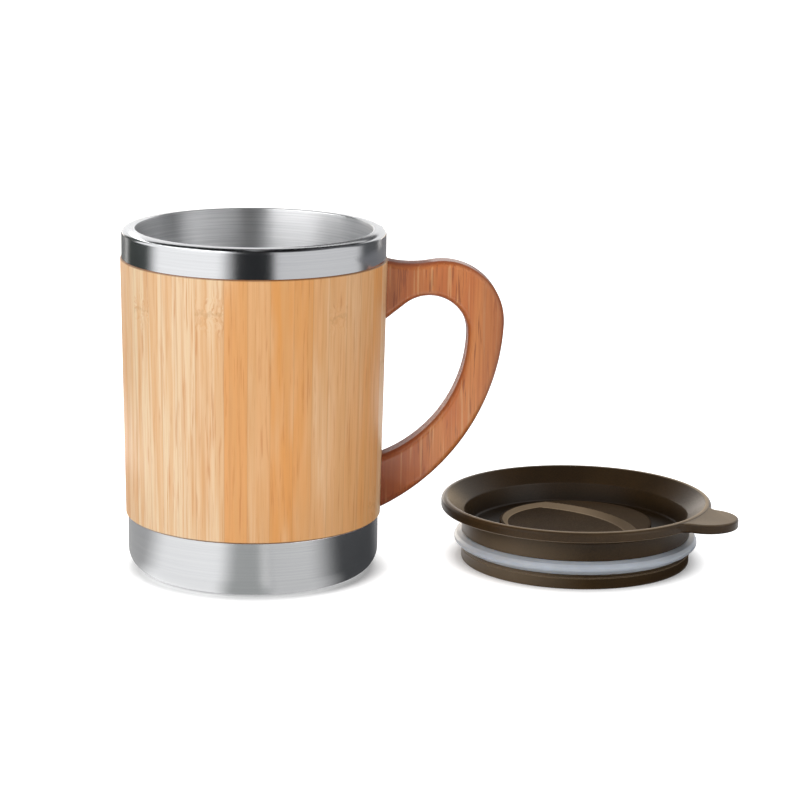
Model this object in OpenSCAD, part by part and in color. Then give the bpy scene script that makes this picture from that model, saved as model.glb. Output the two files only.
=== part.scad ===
// A double-walled mug: a steel cup inside a bamboo sleeve, with a bamboo handle.
// Its push-in lid, which has a turning disc over a drink opening, lies beside it.
// The origin is the centre of the mug's foot, on the table, and the handle points along +X.

/* [Mug] */
// Height from the table to the crown of the steel rim
mug_h = 111.5; // [106:0.5:130]
// Inside diameter of the steel cup
mouth_d = 75.6; // [66:0.2:90]
// Thickness of the steel sheet
steel_t = 0.5; // [0.4:0.1:0.7]
// Space between the inner cup's floor and the base
air_gap = 6; // [3:0.5:12]
// Inside corner radius of the inner cup
cup_corner_r = 10; // [5:1:20]

/* [Steel rim] */
// How far the band lies inside the sleeve's upper edge
rim_inset = 0.4; // [0.1:0.1:1]
// Height of the band, from the sleeve to the crown
rim_h = 9.4; // [6:0.2:14]
// Fall of the rounded top, from the crown to the outer face
rim_fall = 1.9; // [1:0.1:3]

/* [Bamboo sleeve] */
// Thickness of the sleeve at its top
sleeve_t = 3.5; // [3:0.1:6]
// How much less the sleeve's radius is at its foot
sleeve_taper = 1.4; // [0:0.1:1.6]
// Height of the sleeve's foot above the table
sleeve_foot_z = 18.5; // [14:0.5:19]
// Bevel of the sleeve's edges
sleeve_bevel = 0.4; // [0.2:0.1:0.6]

/* [Steel base] */
// How far the base lies inside the sleeve's foot
base_inset = 0.7; // [0.4:0.1:0.9]
// Radius of the base's rounded corner
base_corner_r = 7.4; // [4:0.2:12]
// Height of the collar that stands up inside the sleeve
base_collar_h = 5; // [3:0.5:6]
// Diameter of the ring pressed into the underside
bead_d = 54; // [30:1:60]
// Width of that ring
bead_w = 2; // [1:0.5:4]
// Depth of that ring
bead_depth = 0.3; // [0.1:0.1:0.3]

/* [Handle] */
// Thickness of the board
handle_t = 9.5; // [8:0.5:14]
// Rounding of the board's edges
handle_edge_r = 3; // [1:0.5:4]
// Distance from the sleeve's upper edge to the outermost point
handle_out = 37.7; // [34:0.1:46]
// Depth of the outermost point below the sleeve's top
handle_out_drop = 18.6; // [17:0.2:20]
// Radius of the upper outer corner
corner_outer_r = 19.9; // [17:0.1:21]
// Radius of the thumb dip on top
dip_r = 33.9; // [30:0.5:50]
// Width of the board at its outermost point
grip_w = 11.8; // [9:0.1:15]
// Depth of the widest point of the finger gap below the sleeve's top
handle_in_drop = 24.5; // [23.1:0.2:27.1]
// Height of the lower foot's end above the sleeve's foot
handle_foot_up = 1.8; // [0.8:0.1:6]
// Height of the lower foot
handle_foot_h = 17.3; // [14:0.1:20]
// Radius of the arch over the fingers
arch_r = 12.4; // [10:0.2:13]

/* [Handle screws] */
// Diameter of the shank
screw_d = 3; // [2:0.2:4]
// Diameter of the countersunk head
screw_head_d = 5.8; // [4.6:0.2:6.4]
// Height of the head
screw_head_h = 1.5; // [1:0.1:1.8]
// Length of the screw over all
screw_l = 11.5; // [9:0.5:12.5]

/* [Lid] */
// Gap along X between the sleeve's upper edge and the lid's rim, as the lid lies beside the mug
lid_aside = 19.45; // [12:0.05:60]
// Place of the lid's axis beside the mug, along Y
lid_y = 7.2; // [-20:0.2:20]
// How far the lid's rim reaches past the mug's rim band
lid_overhang = 2.35; // [1:0.05:5]
// Height of the lid's rim, from its underside to its crest
lid_rim_h = 3.34; // [3.2:0.02:5]
// Radius of the rim's rounded crest
lid_crest_r = 1.39; // [1:0.01:1.6]
// Height of the plug's wall between the seal's groove and the rim
plug_wall_h = 7.9; // [6:0.1:12]
// Height of the dish's floor above the seal's groove
lid_floor_up = 0.5; // [0:0.1:1.5]
// Thickness of the dish's floor
lid_floor_t = 1.8; // [1.2:0.1:2]
// Thickness of the plug's wall at the foot of the funnel
funnel_wall_t = 0.95; // [0.8:0.05:2]
// Depth of the funnel's foot below the rim's underside
funnel_drop = 1.4; // [0.8:0.1:2.4]
// Gap between the plug and the mug's mouth
plug_gap = 0.25; // [0.15:0.05:0.5]

/* [Lid tab] */
// Radius of the tab's round end
tab_r = 10.5; // [8:0.5:13]
// Distance from the rim's outer face to the centre of the round end
tab_out = 1.55; // [0:0.05:6]
// Thickness of the tab
tab_t = 3.1; // [2:0.1:3.2]
// Radius of the fillets at the tab's root
tab_fillet_r = 4; // [2:0.5:6]
// Direction of the tab
tab_turn = -32; // [-180:1:180]

/* [Lid seal] */
// Height of the band under the seal
ring_h = 4.8; // [4:0.1:5.2]
// Height of the seal's groove
groove_h = 4.5; // [3.8:0.1:4.6]
// Depth of the seal's groove
groove_depth = 1.55; // [1:0.05:1.8]
// How far the seal stands out past the mug's mouth before it is pressed in
seal_squeeze = 2.2; // [0.5:0.1:2.4]

/* [Closing disc] */
// Diameter of the disc
dial_d = 50; // [46:0.5:56]
// Thickness of the disc
dial_t = 2.4; // [2:0.1:3]
// Depth of the sunk part
recess_depth = 1.2; // [0.6:0.1:1.4]
// Diameter of the stud that the disc turns on
stud_d = 8; // [6:0.5:10]
// Distance from the drink opening to the disc's edge
port_edge = 4; // [3:0.5:6]
// Width of the drink opening
port_w = 6; // [4:0.5:6]
// Angle from the closed disc's slot to the drink opening
port_turn = -60; // [-75:5:-50]

/* [Hidden] */
$fn = 96;

// One overrun serves every cut
cut = 1.3;
// Slip gap between pieces that are pushed over each other
slip_gap = 0.1;

// Radii of the mug's walls, from the drink outwards
cup_r = mouth_d / 2;
cup_out_r = cup_r + steel_t;
collar_r = cup_out_r + slip_gap;
sleeve_bore_r = collar_r + steel_t + slip_gap;
sleeve_top_r = sleeve_bore_r + sleeve_t;
sleeve_foot_r = sleeve_top_r - sleeve_taper;
sleeve_top_z = mug_h - rim_h;
rim_r = sleeve_top_r - rim_inset;
base_r = sleeve_foot_r - base_inset;
cup_floor_z = steel_t + air_gap;

// Flat of the rim between the cup's lip and the rounded fall
rim_land = 0.2;
// Facets of the rounded fall
fall_steps = 8;

// Angles at which the handle's arcs meet
corner_turn = 2.4;
dip_turn = 100.5;
arch_turn = 128.5;
// Steps of the handle's arcs, as many outside as inside with its straight run
dip_steps = 6;
corner_steps = 13;
outer_steps = 16;
inner_steps = 17;
arch_steps = 17;
// Steps of the board's rounded edges
edge_steps = 5;
// The board is cut back to the sleeve from this far inside it
foot_depth = 6;
foot_x = sleeve_top_r - foot_depth;
// Glue line between the handle's feet and the sleeve
glue_gap = 0.05;

// The handle's outermost point, the inside of its grip, and its lower foot
handle_reach = sleeve_top_r + handle_out;
handle_in_reach = handle_reach - grip_w;
handle_out_z = sleeve_top_z - handle_out_drop;
handle_in_z = sleeve_top_z - handle_in_drop;
lower_foot_low_z = sleeve_foot_z + handle_foot_up;
lower_foot_top_z = lower_foot_low_z + handle_foot_h;
// Radii of the long curves, from those points down to the lower foot
grip_outer_r = upright_r(handle_reach - sleeve_foot_r, handle_out_z - lower_foot_low_z);
grip_inner_r = upright_r(handle_in_reach - sleeve_foot_r, handle_in_z - lower_foot_top_z);

// Centres of the handle's arcs, as [x, z]
outer_c = [handle_reach - grip_outer_r, handle_out_z];
corner_c = outer_c + (grip_outer_r - corner_outer_r) * [cos(corner_turn), -sin(corner_turn)];
dip_c = corner_c + (corner_outer_r + dip_r) * [cos(dip_turn), sin(dip_turn)];
inner_c = [handle_in_reach - grip_inner_r, handle_in_z];
arch_c = [handle_in_reach - arch_r, handle_in_z];

// Heights where the upper foot meets the sleeve, and the screws at the middle of each foot
upper_foot_top_z = low_z(dip_c, dip_r, sleeve_top_r);
upper_foot_low_z = arch_line_z(0, sleeve_top_r);
screw_zs = [(upper_foot_top_z + upper_foot_low_z) / 2, (lower_foot_top_z + lower_foot_low_z) / 2];
// Depth of the screw head's face below the sleeve's bore
screw_sink = 0.15;
// Gap round a screw in the sleeve, and in the board, where its thread bites
screw_gap = 0.1;
thread_gap = 0.02;
screw_point_h = 1.5;
// Cross slot in the screw head
slot_w = 0.7;
slot_l = 3.6;
slot_depth = 0.8;

// Lid
lid_r = rim_r + lid_overhang;
lid_x = sleeve_top_r + lid_aside + lid_r;
plug_r = cup_r - plug_gap;
groove_r = plug_r - groove_depth;
groove_top_z = ring_h + groove_h;
lid_floor_z = groove_top_z + lid_floor_up;
lid_shelf_z = groove_top_z + plug_wall_h;
lid_h = lid_shelf_z + lid_rim_h;
lid_edge = 0.45;
// Slope from the plug to the rim's underside, which rests on the mug's lip
lid_seat = 2.1;
// How far inside the rim's outer face the tab's fillets start, and the steps of the tab's arcs
tab_root_in = 0.1;
tab_fillet_steps = 8;
tab_steps = 32;
plug_skirt_t = 1.6;
skirt_in_r = groove_r - plug_skirt_t;
skirt_low_z = ring_h + slip_gap;
crest_c = [lid_r - lid_crest_r, lid_h - lid_crest_r];
crest_steps = 12;
funnel_foot_r = plug_r - funnel_wall_t;
funnel_foot_z = lid_shelf_z - funnel_drop;
dish_taper = 1.2;
dish_r = funnel_foot_r - dish_taper;
funnel_round = 0.4;
// Direction in which the funnel's straight slope faces
funnel_turn = 129;

// Lower band of the plug
ring_wall_t = 1.6;
ring_web_t = 1.2;
ring_collar_t = 1.4;
ring_collar_r = skirt_in_r - slip_gap;
// The collar stops this far short of the floor
collar_short = 0.4;
ring_collar_top_z = lid_floor_z - lid_floor_t - collar_short;
ring_bevel = 0.4;

// Seal: its lip, as heights shared out over the groove
seal_r = cup_r + seal_squeeze;
seal_root_gap = 0.05;
seal_root_r = groove_r + seal_root_gap;
seal_low_z = ring_h + seal_root_gap;
seal_top_z = groove_top_z - seal_root_gap;
seal_h = seal_top_z - seal_low_z;
lip_low_share = 0.22;
lip_belly_shares = [0.48, 0.63];
lip_top_share = 0.86;
lip_tuck = 0.65;

// Closing disc, from the floor upwards
dial_r = dial_d / 2;
port_out = dial_r - port_edge - port_w / 2;
gasket_t = 0.6;
gasket_inset = 1.5;
dial_gap = 0.1;
dial_low_z = lid_floor_z + gasket_t + dial_gap;
dial_top_z = dial_low_z + dial_t;
dial_bevel = 0.3;
stud_r = stud_d / 2;
stud_run_gap = 0.06;
gasket_bore_gap = 0.6;
// Sunk part: a round dish inside the disc's edge, cut off by a ramp of large radius
recess_rim = 0.9;
recess_slope = 1.5;
ramp_r = 38.4;
ramp_slope = 3.4;
ramp_past = 2.8;
ramp_out = dial_r + ramp_past;
ramp_turn = -146;
// The disc's slot when the disc is closed, and half the angle that it spans
slot_turn = -94;
port_half_angle = 15;
port_steps = 12;
// Washer under the floor, in its groove round the stud
clip_t = 0.5;
clip_flange = 3;
clip_r = stud_r + clip_flange;
clip_play = 0.2;
clip_groove_depth = 0.4;
clip_groove_gap = 0.05;
clip_top_z = lid_floor_z - lid_floor_t - clip_play;
stud_tail = 1.2;
stud_low_z = clip_top_z - clip_t - stud_tail;
stud_bore_wall = 1.6;

// Radius of an arc that starts upright and moves w sideways while it goes h down
function upright_r(w, h) = (w * w + h * h) / (2 * w);
// Lower side of a circle at x, as a height
function low_z(c, r, x) = c[1] - sqrt(r * r - (x - c[0]) * (x - c[0]));
// Angle of a circle's lower side at x
function low_turn(c, r, x) = -acos((x - c[0]) / r);
function on_arc(c, r, turn) = c + r * [cos(turn), sin(turn)];
// Points along an arc, without its first one when skip is 1
function arc(c, r, from, to, steps, skip = 0) =
    [for (i = [skip:steps]) on_arc(c, r, from + (to - from) * i / steps)];
// Straight run from the arch down to the sleeve, at x, with the board's outline set in by inset
function arch_line_z(inset, x) =
    let (p = on_arc(arch_c, arch_r + inset, arch_turn))
    p[1] + (p[0] - x) * cos(arch_turn) / sin(arch_turn);

// The board's outline as [x, z], set in by inset: over the top, down the outside, back up the inside
function board_outline(inset) = concat(
    arc(dip_c, dip_r + inset, low_turn(dip_c, dip_r + inset, foot_x), dip_turn - 180, dip_steps),
    arc(corner_c, corner_outer_r - inset, dip_turn, -corner_turn, corner_steps, 1),
    arc(outer_c, grip_outer_r - inset, -corner_turn,
        low_turn(outer_c, grip_outer_r - inset, foot_x), outer_steps, 1),
    arc(inner_c, grip_inner_r + inset, low_turn(inner_c, grip_inner_r + inset, foot_x), 0, inner_steps),
    arc(arch_c, arch_r + inset, 0, arch_turn, arch_steps, 1),
    [[foot_x, arch_line_z(inset, foot_x)]]);

// A board with rounded edges: the outline swept from face to face.
// Each flat face is a ladder of triangles between the outer and the inner line
module rounded_board() {
    edge_turns = [for (i = [0:edge_steps]) 90 * i / edge_steps];
    front = [for (a = edge_turns)
        [handle_edge_r * (1 - sin(a)), -handle_t / 2 + handle_edge_r * (1 - cos(a))]];
    back = [for (i = [edge_steps:-1:0]) [front[i][0], -front[i][1]]];
    rings = concat(front, back);
    n = len(board_outline(0));
    points = [for (ring = rings) for (p = board_outline(ring[0])) [p[0], ring[1], p[1]]];
    last = (len(rings) - 1) * n;
    front_face = [for (i = [0:n / 2 - 2]) each [[i, i + 1, n - 1 - i], [i + 1, n - 2 - i, n - 1 - i]]];
    back_face = [for (f = front_face) [last + f[2], last + f[1], last + f[0]]];
    sides = [for (j = [0:len(rings) - 2]) for (i = [0:n - 1])
        let (k = (i + 1) % n)
        each [[j * n + k, j * n + i, (j + 1) * n + i], [j * n + k, (j + 1) * n + i, (j + 1) * n + k]]];
    polyhedron(points = points, faces = concat(front_face, back_face, sides), convexity = 6);
}

// Half section of a round cup with a rounded lower corner
module cup_half(r, low, top, corner) {
    translate([0, low + corner]) square([r, top - low - corner]);
    translate([0, low]) square([r - corner, top - low]);
    intersection() {
        translate([r - corner, low + corner]) circle(r = corner);
        translate([r - corner, low]) square(corner);
    }
}

// The drawn steel cup, open at the top, with a rounded lip
module inner_cup() {
    color([0.74, 0.74, 0.73])
    rotate_extrude() {
        lip_r = steel_t / 2;
        difference() {
            cup_half(cup_out_r, cup_floor_z, mug_h - lip_r, cup_corner_r + steel_t);
            cup_half(cup_r, cup_floor_z + steel_t, mug_h + cut, cup_corner_r);
        }
        translate([cup_r + lip_r, mug_h - lip_r]) circle(r = lip_r);
    }
}

// The rim band: a straight wall that rolls over to the cup's lip
module rim_band() {
    crown_r = cup_out_r + rim_land;
    fall_w = rim_r - crown_r;
    steps = [for (i = [0:fall_steps]) 90 * i / fall_steps];
    outside = [for (a = steps)
        [crown_r + fall_w * cos(a), mug_h - rim_fall + rim_fall * sin(a)]];
    inside = [for (i = [fall_steps:-1:0])
        [crown_r + (fall_w - steel_t) * cos(steps[i]),
         mug_h - rim_fall + (rim_fall - steel_t) * sin(steps[i])]];
    color([0.78, 0.78, 0.78])
    rotate_extrude()
        polygon(concat([[rim_r - steel_t, sleeve_top_z], [rim_r, sleeve_top_z]], outside,
            [[cup_out_r, mug_h], [cup_out_r, mug_h - steel_t]], inside));
}

// The turned bamboo wall, with its bore and two countersunk screw holes
module bamboo_sleeve() {
    color([0.85, 0.68, 0.45])
    difference() {
        rotate_extrude()
            polygon([
                [sleeve_bore_r, sleeve_foot_z], [sleeve_foot_r - sleeve_bevel, sleeve_foot_z],
                [sleeve_foot_r, sleeve_foot_z + sleeve_bevel], [sleeve_top_r, sleeve_top_z - sleeve_bevel],
                [sleeve_top_r - sleeve_bevel, sleeve_top_z], [sleeve_bore_r, sleeve_top_z]]);
        for (z = screw_zs) translate([sleeve_bore_r + screw_sink, 0, z]) rotate([0, 90, 0]) {
            cylinder(r = screw_d / 2 + screw_gap, h = sleeve_t + cut);
            cylinder(r1 = screw_head_d / 2 + screw_gap, r2 = screw_d / 2 + screw_gap, h = screw_head_h);
            translate([0, 0, -screw_sink - cut])
                cylinder(r = screw_head_d / 2 + screw_gap, h = screw_sink + cut);
        }
    }
}

// The steel base: a dish with a shoulder under the sleeve and a collar inside it
module base_cap() {
    color([0.76, 0.76, 0.76])
    difference() {
        rotate_extrude() difference() {
            union() {
                cup_half(base_r, 0, sleeve_foot_z, base_corner_r);
                square([collar_r + steel_t, sleeve_foot_z + base_collar_h]);
            }
            cup_half(base_r - steel_t, steel_t, sleeve_foot_z - steel_t, base_corner_r - steel_t);
            translate([0, steel_t]) square([collar_r, sleeve_foot_z + base_collar_h]);
        }
        translate([0, 0, -cut]) difference() {
            cylinder(r = (bead_d + bead_w) / 2, h = cut + bead_depth);
            cylinder(r = (bead_d - bead_w) / 2, h = cut + bead_depth);
        }
    }
}

// The ear-shaped board, hollowed at its feet to the sleeve's cone
module handle() {
    color([0.76, 0.5, 0.33])
    difference() {
        rounded_board();
        sleeve_cone();
        for (z = screw_zs) translate([0, 0, z]) rotate([0, 90, 0])
            cylinder(r = screw_d / 2 + thread_gap, h = sleeve_bore_r + screw_sink + screw_l + thread_gap);
    }
}

// The sleeve's outside, run past both ends and let out by the glue line
module sleeve_cone() {
    h = sleeve_top_z - sleeve_foot_z;
    flare = (sleeve_top_r - sleeve_foot_r) / h;
    cylinder(r1 = sleeve_foot_r - flare * sleeve_foot_z + glue_gap,
        r2 = sleeve_top_r + flare * sleeve_foot_z + glue_gap,
        h = sleeve_top_z + sleeve_foot_z);
}

// Two countersunk wood screws, one in each foot of the handle
module handle_screws() {
    color([0.6, 0.6, 0.58])
    for (z = screw_zs) translate([sleeve_bore_r + screw_sink, 0, z]) rotate([0, 90, 0]) difference() {
        union() {
            cylinder(r1 = screw_head_d / 2, r2 = screw_d / 2, h = screw_head_h);
            cylinder(r = screw_d / 2, h = screw_l - screw_point_h);
            translate([0, 0, screw_l - screw_point_h])
                cylinder(r1 = screw_d / 2, r2 = 0, h = screw_point_h);
        }
        for (turn = [0, 90]) rotate([0, 0, turn])
            translate([-slot_l / 2, -slot_w / 2, -cut]) cube([slot_l, slot_w, cut + slot_depth]);
    }
}

module at_lid() {
    translate([lid_x, lid_y, 0]) children();
}

// Plan of an arc-shaped slot with round ends, on the circle of the drink opening
module port_plan(turn, w) {
    h = port_half_angle;
    rotate([0, 0, turn]) polygon(concat(
        arc([0, 0], port_out + w / 2, -h, h, port_steps, 1),
        arc(on_arc([0, 0], port_out, h), w / 2, h, h + 180, port_steps, 1),
        arc([0, 0], port_out - w / 2, h, -h, port_steps, 1),
        arc(on_arc([0, 0], port_out, -h), w / 2, 180 - h, 360 - h, port_steps, 1)));
}

// Plan of the tab: a round end, with a fillet on each side where it leaves the rim.
// The fillets start a little inside the rim's outer face
module tab_plan() {
    a = lid_r - tab_root_in + tab_fillet_r;
    b = tab_r + tab_fillet_r;
    c = lid_r + tab_out;
    u = (a * a - b * b + c * c) / (2 * c);
    v = sqrt(a * a - u * u);
    root_turn = atan2(v, u);
    end_turn = atan2(v, u - c);
    polygon(concat(
        arc([u, -v], tab_fillet_r, 180 - root_turn, 180 - end_turn, tab_fillet_steps),
        arc([c, 0], tab_r, -end_turn, end_turn, tab_steps, 1),
        arc([u, v], tab_fillet_r, end_turn - 180, root_turn - 180, tab_fillet_steps, 1),
        arc([0, 0], crest_c[0], root_turn, -root_turn, tab_fillet_steps)));
}

// The lid: rolled rim, funnel, dish, plug wall, seal groove and tab in one moulding
module lid_body() {
    floor_low_z = lid_floor_z - lid_floor_t;
    color([0.27, 0.23, 0.18])
    at_lid() difference() {
        union() {
            rotate_extrude() polygon(concat(
                [[skirt_in_r, skirt_low_z], [groove_r, skirt_low_z],
                 [groove_r, groove_top_z], [plug_r, groove_top_z],
                 [plug_r, lid_shelf_z - lid_seat], [plug_r + lid_seat, lid_shelf_z],
                 [lid_r - lid_edge, lid_shelf_z], [lid_r, lid_shelf_z + lid_edge]],
                arc(crest_c, lid_crest_r, 0, funnel_turn, crest_steps),
                [[funnel_foot_r + funnel_round, funnel_foot_z + funnel_round],
                 [funnel_foot_r, funnel_foot_z - funnel_round], [dish_r, lid_floor_z],
                 [stud_r + stud_run_gap, lid_floor_z], [stud_r + stud_run_gap, floor_low_z],
                 [skirt_in_r, floor_low_z]]));
            translate([0, 0, lid_shelf_z]) linear_extrude(height = tab_t)
                rotate([0, 0, tab_turn]) tab_plan();
        }
        translate([0, 0, floor_low_z - cut]) linear_extrude(height = lid_floor_t + cut + cut)
            port_plan(slot_turn + port_turn, port_w);
    }
}

// The silicone ring, with its belly standing out past the plug
module lid_seal() {
    belly_r = seal_r - plug_r;
    color([0.88, 0.92, 0.95])
    at_lid() rotate_extrude() polygon([
        [seal_root_r, seal_low_z], [plug_r - seal_root_gap, seal_low_z],
        [plug_r, seal_low_z + seal_h * lip_low_share], [seal_r - lip_tuck, seal_low_z + seal_h * lip_low_share],
        [seal_r, seal_low_z + seal_h * lip_belly_shares[0]], [seal_r, seal_low_z + seal_h * lip_belly_shares[1]],
        [seal_r - lip_tuck, seal_low_z + seal_h * lip_top_share],
        [plug_r, seal_top_z], [seal_root_r, seal_top_z]]);
}

// The band under the seal: outer wall, web and a collar that snaps inside the plug's skirt
module lid_ring() {
    wall_in_r = plug_r - ring_wall_t;
    web_low_z = ring_h - ring_web_t;
    collar_in_r = ring_collar_r - ring_collar_t;
    color([0.28, 0.24, 0.19])
    at_lid() rotate_extrude() polygon([
        [wall_in_r, 0], [plug_r - ring_bevel, 0], [plug_r, ring_bevel], [plug_r, ring_h],
        [ring_collar_r, ring_h], [ring_collar_r, ring_collar_top_z], [collar_in_r, ring_collar_top_z],
        [collar_in_r, 0], [ring_collar_r, 0], [ring_collar_r, web_low_z], [wall_in_r, web_low_z]]);
}

// The disc: sunk finger ramp, slot, and the stud that it turns on
module lid_dial() {
    floor_z = dial_top_z - recess_depth;
    recess_r = dial_r - recess_rim;
    groove_low_z = clip_top_z - clip_t - clip_groove_gap;
    clip_groove_h = clip_t + 2 * clip_groove_gap;
    // The sunk part's cutters keep their slopes on past the disc's top
    cut_h = recess_depth + cut;
    past = cut / recess_depth;
    color([0.25, 0.21, 0.17])
    at_lid() difference() {
        rotate_extrude() polygon([[0, stud_low_z], [stud_r, stud_low_z], [stud_r, dial_low_z],
            [dial_r, dial_low_z], [dial_r, dial_top_z - dial_bevel], [dial_r - dial_bevel, dial_top_z],
            [0, dial_top_z]]);
        intersection() {
            translate([0, 0, floor_z])
                cylinder(r1 = recess_r - recess_slope, r2 = recess_r + recess_slope * past, h = cut_h);
            rotate([0, 0, ramp_turn]) translate([ramp_out, 0, floor_z])
                cylinder(r1 = ramp_r, r2 = ramp_r + ramp_slope * (1 + past), h = cut_h);
        }
        translate([0, 0, dial_low_z - cut]) linear_extrude(height = dial_t + cut + cut)
            port_plan(slot_turn, port_w);
        translate([0, 0, groove_low_z]) difference() {
            cylinder(r = stud_r + cut, h = clip_groove_h);
            cylinder(r = stud_r - clip_groove_depth, h = clip_groove_h);
        }
        translate([0, 0, stud_low_z - cut])
            cylinder(r = stud_r - stud_bore_wall, h = cut + dial_low_z - stud_low_z);
    }
}

// The thin silicone sheet between the disc and the floor
module dial_gasket() {
    color([0.86, 0.88, 0.9])
    at_lid() translate([0, 0, lid_floor_z]) linear_extrude(height = gasket_t) difference() {
        circle(r = dial_r - gasket_inset);
        circle(r = stud_r + gasket_bore_gap);
        port_plan(slot_turn + port_turn, port_w);
    }
}

// The push-on washer under the floor
module dial_clip() {
    color([0.7, 0.7, 0.7])
    at_lid() translate([0, 0, clip_top_z - clip_t]) difference() {
        cylinder(r = clip_r, h = clip_t);
        translate([0, 0, -cut])
            cylinder(r = stud_r - clip_groove_depth + clip_groove_gap, h = clip_t + cut + cut);
    }
}

inner_cup();
rim_band();
bamboo_sleeve();
base_cap();
handle();
handle_screws();
lid_body();
lid_seal();
lid_ring();
lid_dial();
dial_gasket();
dial_clip();
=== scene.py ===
from math import atan2, cos, degrees, hypot, pi, radians, sin, sqrt, tan
from random import Random

import bmesh
import bpy
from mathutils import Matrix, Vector


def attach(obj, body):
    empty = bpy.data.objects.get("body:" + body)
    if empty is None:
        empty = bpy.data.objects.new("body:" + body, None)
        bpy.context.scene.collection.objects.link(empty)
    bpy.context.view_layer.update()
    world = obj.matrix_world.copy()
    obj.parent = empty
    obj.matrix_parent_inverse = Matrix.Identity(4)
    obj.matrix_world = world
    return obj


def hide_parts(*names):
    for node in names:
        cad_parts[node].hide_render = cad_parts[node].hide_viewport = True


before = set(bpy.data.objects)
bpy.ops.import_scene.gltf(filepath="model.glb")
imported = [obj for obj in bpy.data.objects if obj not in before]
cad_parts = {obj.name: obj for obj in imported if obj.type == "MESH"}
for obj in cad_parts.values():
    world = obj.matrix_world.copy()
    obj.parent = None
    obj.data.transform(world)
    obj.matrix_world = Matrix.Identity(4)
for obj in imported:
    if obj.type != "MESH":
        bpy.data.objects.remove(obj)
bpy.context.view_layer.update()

# Inner cup
# The cup that holds the drink, deep drawn from half a millimetre of stainless steel.
# Its inside is brushed round the axis, and its lip is rounded where the rim band meets it.
mm = 0.001
sheet = 0.5
cup_r = 37.8
cup_floor = 7.0
cup_corner = 10.0
cup_lip = 0.4
trimmed_edge = 0.05
mug_top = 111.5


def rounded(corners, step=10):
    """A section's points: each corner (radius, height, rounding) becomes an arc, in steps of some degrees"""
    points = []
    for k, (r, z, rounding) in enumerate(corners):
        corner = Vector((r, z))
        if not rounding:
            points.append(corner)
            continue
        back = (Vector(corners[k - 1][:2]) - corner).normalized()
        on = (Vector(corners[(k + 1) % len(corners)][:2]) - corner).normalized()
        half = back.angle(on) / 2
        centre = corner + (back + on).normalized() * rounding / sin(half)
        first = corner + back * rounding / tan(half) - centre
        last = corner + on * rounding / tan(half) - centre
        turn = first.angle(last) * (1 if first.x * last.y > first.y * last.x else -1)
        steps = max(2, round(abs(degrees(turn)) / step))
        for i in range(steps + 1):
            a = turn * i / steps
            swung = Vector((first.x * cos(a) - first.y * sin(a), first.x * sin(a) + first.y * cos(a)))
            points.append(centre + swung)
    return points


def point_at(mesh, x, y, z):
    """Adds a point to a mesh, its place in millimetres"""
    return mesh.verts.new((x * mm, y * mm, z * mm))


def skinned(mesh, rings, capped=False):
    """Joins each ring of points to the next with faces, and closes both ends when it is capped"""
    for one, two in zip(rings, rings[1:]):
        for i in range(len(one)):
            j = (i + 1) % len(one)
            corners = list(dict.fromkeys((one[i], one[j], two[j], two[i])))
            if len(corners) > 2:
                mesh.faces.new(corners)
    if capped:
        mesh.faces.new(rings[0][::-1])
        mesh.faces.new(rings[-1])


def placed(name, mesh):
    """Puts a built mesh into the scene, its faces turned outwards"""
    bmesh.ops.recalc_face_normals(mesh, faces=mesh.faces)
    data = bpy.data.meshes.new(name)
    mesh.to_mesh(data)
    mesh.free()
    piece = bpy.data.objects.new(name, data)
    bpy.context.scene.collection.objects.link(piece)
    return piece


def turned(name, line, turns=288, axis=(0, 0)):
    """A mesh turned on an upright axis: line is its closed half section, and a radius of 0 is a pole"""
    if isinstance(turns, int):
        turns = [2 * pi * i / turns for i in range(turns)]
    mesh = bmesh.new()
    rings = []
    for r, z in line:
        if r < 1e-6:
            rings.append([point_at(mesh, axis[0], axis[1], z)] * len(turns))
        else:
            rings.append([point_at(mesh, axis[0] + r * cos(t), axis[1] + r * sin(t), z) for t in turns])
    skinned(mesh, rings + rings[:1])
    return placed(name, mesh)


def finished(piece, finish, crease=35):
    """Gives a piece its finish, and smooth shading up to its creases"""
    piece.data.materials.clear()
    piece.data.materials.append(finish)
    piece.data.shade_smooth()
    piece.data.set_sharp_from_angle(angle=radians(crease))
    even = piece.modifiers.new("even_normals", "WEIGHTED_NORMAL")
    even.keep_sharp = True


def to_linear(code):
    """An sRGB hex colour as the linear one that a shader takes"""
    parts = [int(code[i:i + 2], 16) / 255 for i in (1, 3, 5)]
    return tuple(c / 12.92 if c <= 0.04045 else ((c + 0.055) / 1.055) ** 2.4 for c in parts) + (1.0,)


def add(tree, kind, inputs=None, **settings):
    """Adds a node. Each of its inputs takes a value, an output, or a node, which gives its first output"""
    node = tree.nodes.new(kind)
    for name, value in settings.items():
        setattr(node, name, value)
    for socket, value in (inputs or {}).items():
        if isinstance(value, bpy.types.Node):
            value = value.outputs[0]
        if isinstance(value, bpy.types.NodeSocket):
            tree.links.new(value, node.inputs[socket])
        else:
            node.inputs[socket].default_value = value
    return node


def new_material(name):
    """A new material, and its empty tree"""
    material = bpy.data.materials.new(name)
    material.use_nodes = True
    material.node_tree.nodes.clear()
    return material, material.node_tree


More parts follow.
